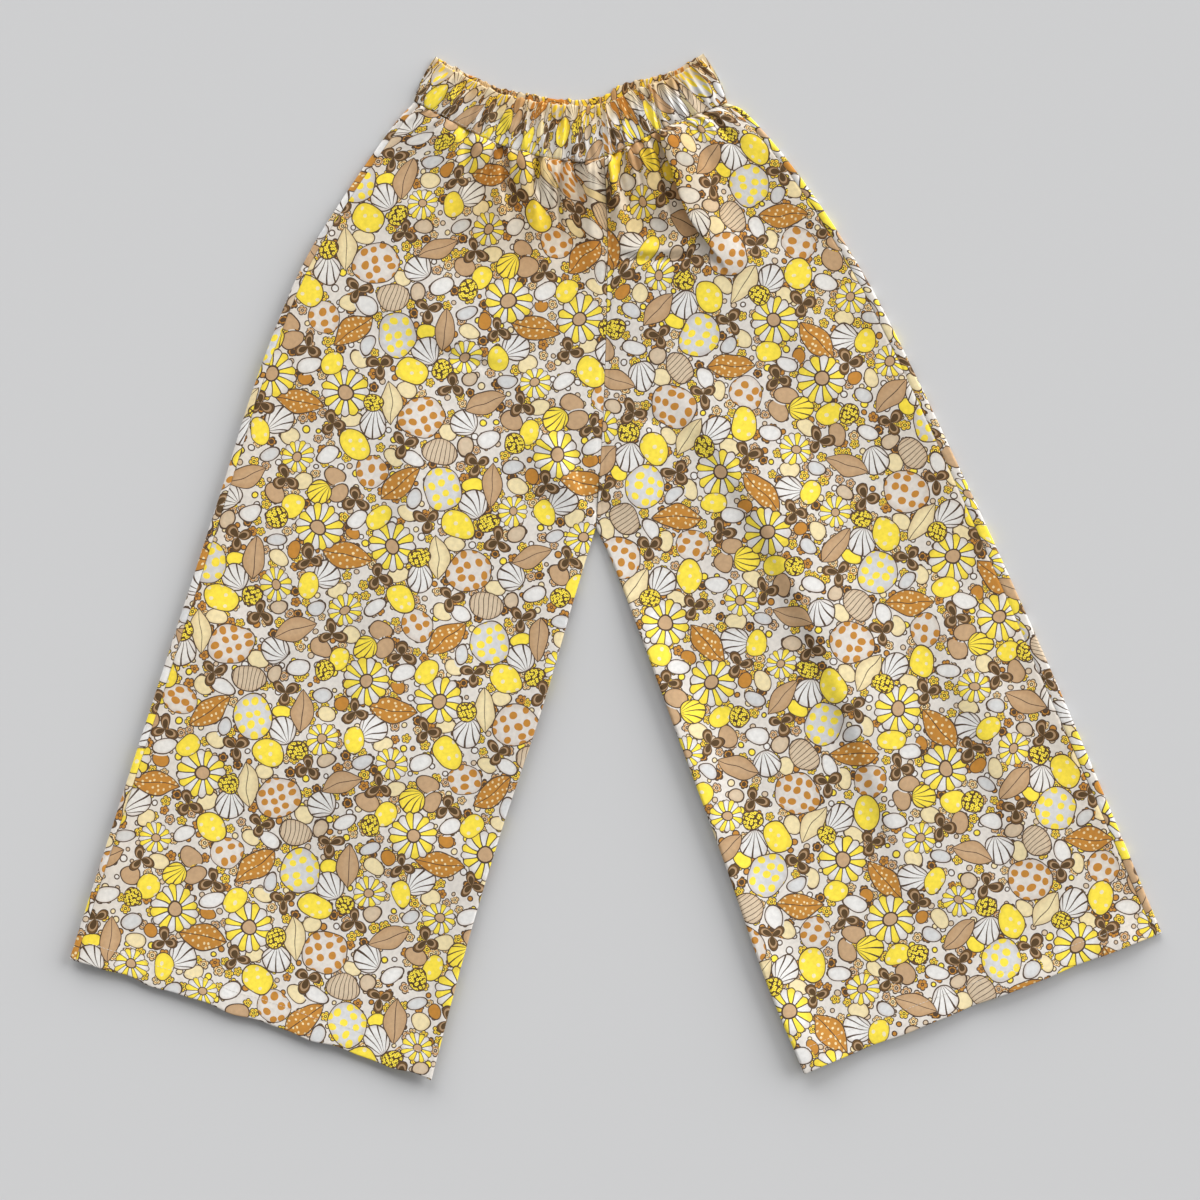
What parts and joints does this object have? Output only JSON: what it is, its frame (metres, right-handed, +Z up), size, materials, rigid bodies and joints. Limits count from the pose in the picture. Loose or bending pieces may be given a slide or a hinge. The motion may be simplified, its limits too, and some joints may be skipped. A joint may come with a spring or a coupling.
{
  "type": "palazzo trousers laid flat",
  "caption": "Wide-leg pull-on trousers in printed cotton with a ruched elastic waistband, laid flat on a surface with the legs spread.",
  "frame": {"origin": "centre of the bounding box on the surface that the trousers lie on", "axes": "+Z up out of the front of the trousers, +Y towards the waist, +X to the wearer's left leg"},
  "size_m": [1.0349, 0.9728, 0.0124],
  "materials": {
    "printed_cotton": "light plain-weave cotton, matt, printed all over in yellow, ochre, tan and white with dark brown lines",
    "ruched_casing": "the same printed cotton drawn up in fine ruches over wide elastic"
  },
  "bodies": {
    "root": {"front_right": "printed_cotton", "front_left": "printed_cotton", "back_right": "printed_cotton", "back_left": "printed_cotton", "waistband_front": "ruched_casing", "waistband_back": "ruched_casing"}
  },
  "joints": []
}
